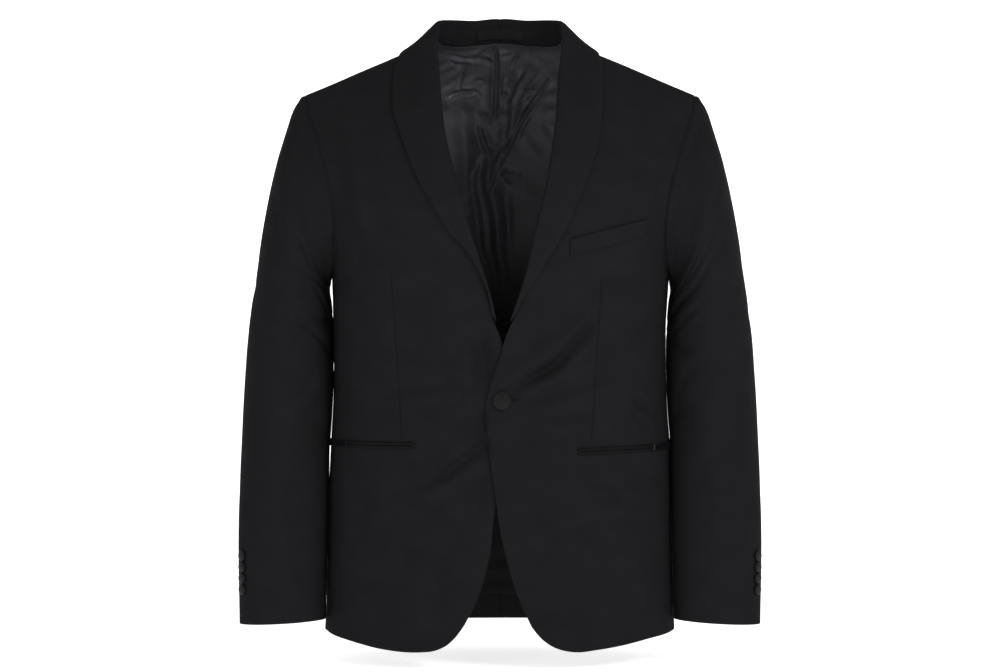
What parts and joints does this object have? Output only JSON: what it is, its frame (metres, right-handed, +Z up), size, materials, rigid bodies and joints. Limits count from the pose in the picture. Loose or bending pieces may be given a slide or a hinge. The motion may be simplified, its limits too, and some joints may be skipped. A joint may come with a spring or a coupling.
{
  "type": "blazer",
  "caption": "Black evening blazer with a shawl collar and a covered front button, filled out as it is worn, open at the neck, hem and cuffs.",
  "frame": {"origin": "middle of the shoulder line between the two neck points, where the wearer's shoulders carry the jacket", "axes": "+Z up, -Y out of the front, +X towards the wearer's left"},
  "size_m": [0.6086, 0.2492, 0.7405],
  "materials": {
    "wool": "matt black worsted with a faint bloom",
    "lining_satin": "charcoal satin",
    "jet_satin": "black satin",
    "button_cover": "black satin over a button form",
    "label_cloth": "bare black woven label"
  },
  "bodies": {
    "root": {"front_left": "wool", "side_panel_left": "wool", "back_left": "wool", "top_sleeve_left": "wool", "under_sleeve_left": "wool", "shawl_collar_left": "wool", "back_lining_left": "lining_satin", "hip_jet_upper_left": "jet_satin", "hip_jet_lower_left": "jet_satin", "cuff_button_left_1": "button_cover", "cuff_button_left_2": "button_cover", "cuff_button_left_3": "button_cover", "cuff_button_left_4": "button_cover", "front_right": "wool", "side_panel_right": "wool", "back_right": "wool", "top_sleeve_right": "wool", "under_sleeve_right": "wool", "shawl_collar_right": "wool", "back_lining_right": "lining_satin", "hip_jet_upper_right": "jet_satin", "hip_jet_lower_right": "jet_satin", "cuff_button_right_1": "button_cover", "cuff_button_right_2": "button_cover", "cuff_button_right_3": "button_cover", "cuff_button_right_4": "button_cover", "front_button": "button_cover", "chest_welt": "wool", "neck_label": "label_cloth"}
  },
  "joints": []
}
